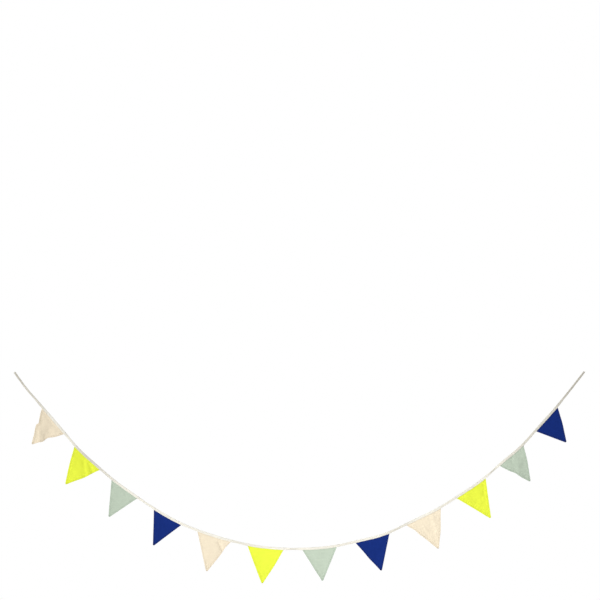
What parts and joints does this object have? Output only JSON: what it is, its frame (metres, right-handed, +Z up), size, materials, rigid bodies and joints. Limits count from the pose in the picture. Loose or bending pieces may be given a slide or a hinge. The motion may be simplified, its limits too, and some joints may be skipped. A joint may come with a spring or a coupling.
{
  "type": "fabric bunting",
  "caption": "Swag of triangular hemmed cotton pennants in cream, yellow, sage and blue, sewn into a folded binding tape that hangs by its two ends.",
  "frame": {"origin": "middle of the cut face at the tape's left-hand end, where it is fastened", "axes": "+X runs from the left-hand end to the right-hand end, +Y to the back, and +Z up; the fronts of the pennants face -Y"},
  "size_m": [2.4566, 0.0163, 0.912],
  "materials": {
    "tape": "matte",
    "cream": "matte",
    "yellow": "matte",
    "sage": "matte",
    "blue": "matte"
  },
  "bodies": {
    "root": {"tape": "tape", "pennant_01_cream": "cream", "pennant_02_yellow": "yellow", "pennant_03_sage": "sage", "pennant_04_blue": "blue", "pennant_05_cream": "cream", "pennant_06_yellow": "yellow", "pennant_07_sage": "sage", "pennant_08_blue": "blue", "pennant_09_cream": "cream", "pennant_10_yellow": "yellow", "pennant_11_sage": "sage", "pennant_12_blue": "blue"}
  },
  "joints": []
}
